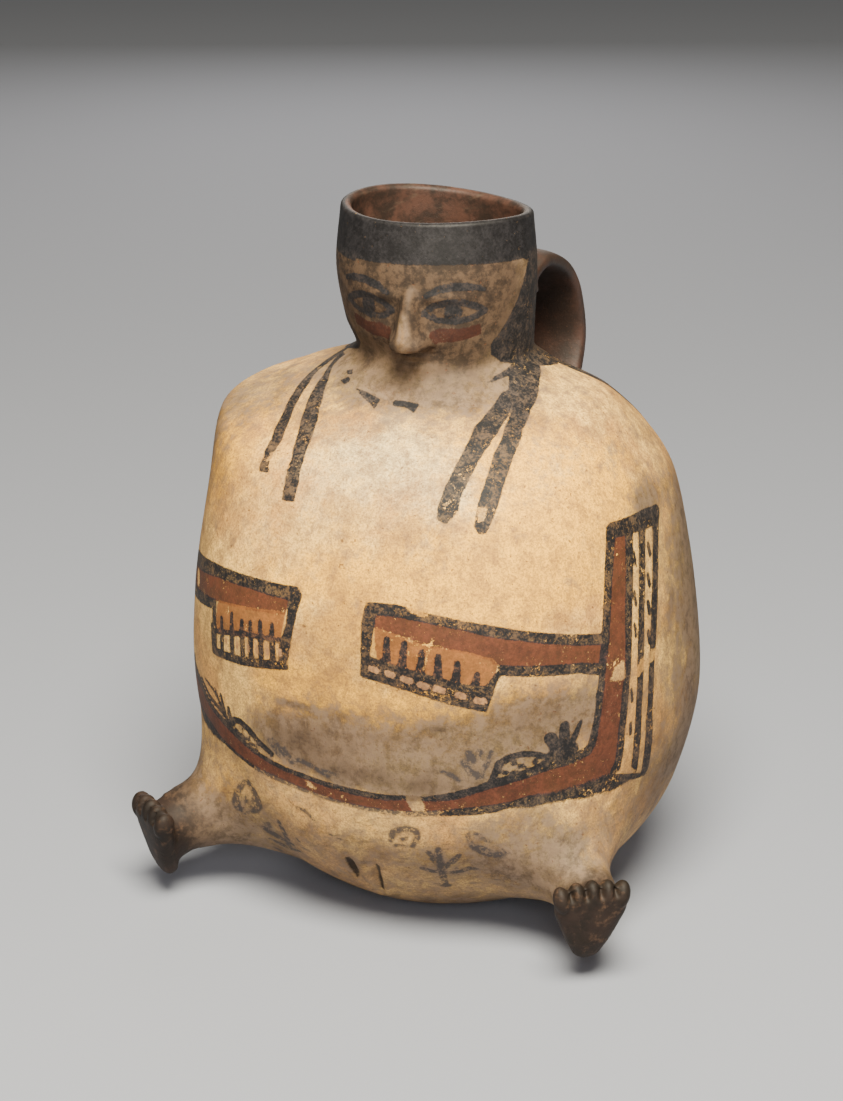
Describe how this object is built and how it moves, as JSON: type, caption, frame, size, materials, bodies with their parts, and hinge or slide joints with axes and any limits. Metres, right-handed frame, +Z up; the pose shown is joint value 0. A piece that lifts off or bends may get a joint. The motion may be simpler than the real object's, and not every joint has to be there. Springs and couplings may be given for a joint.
{
  "type": "handled effigy jar",
  "caption": "hollow fired-clay jar in the form of a seated figure, with an open neck as its head, stub legs with bare feet and a strap handle at the back",
  "frame": {"origin": "centre of the flattened spot on the underside that the jar stands on", "axes": "+Z up through the neck, the figure faces -Y, the handle is at +Y, +X is the figure's left"},
  "size_m": [0.2082, 0.1813, 0.2695],
  "materials": {
    "painted_clay": "matte cream slip with dark and red-brown painting, worn"
  },
  "bodies": {
    "root": {"effigy_jar": "painted_clay"}
  },
  "joints": []
}
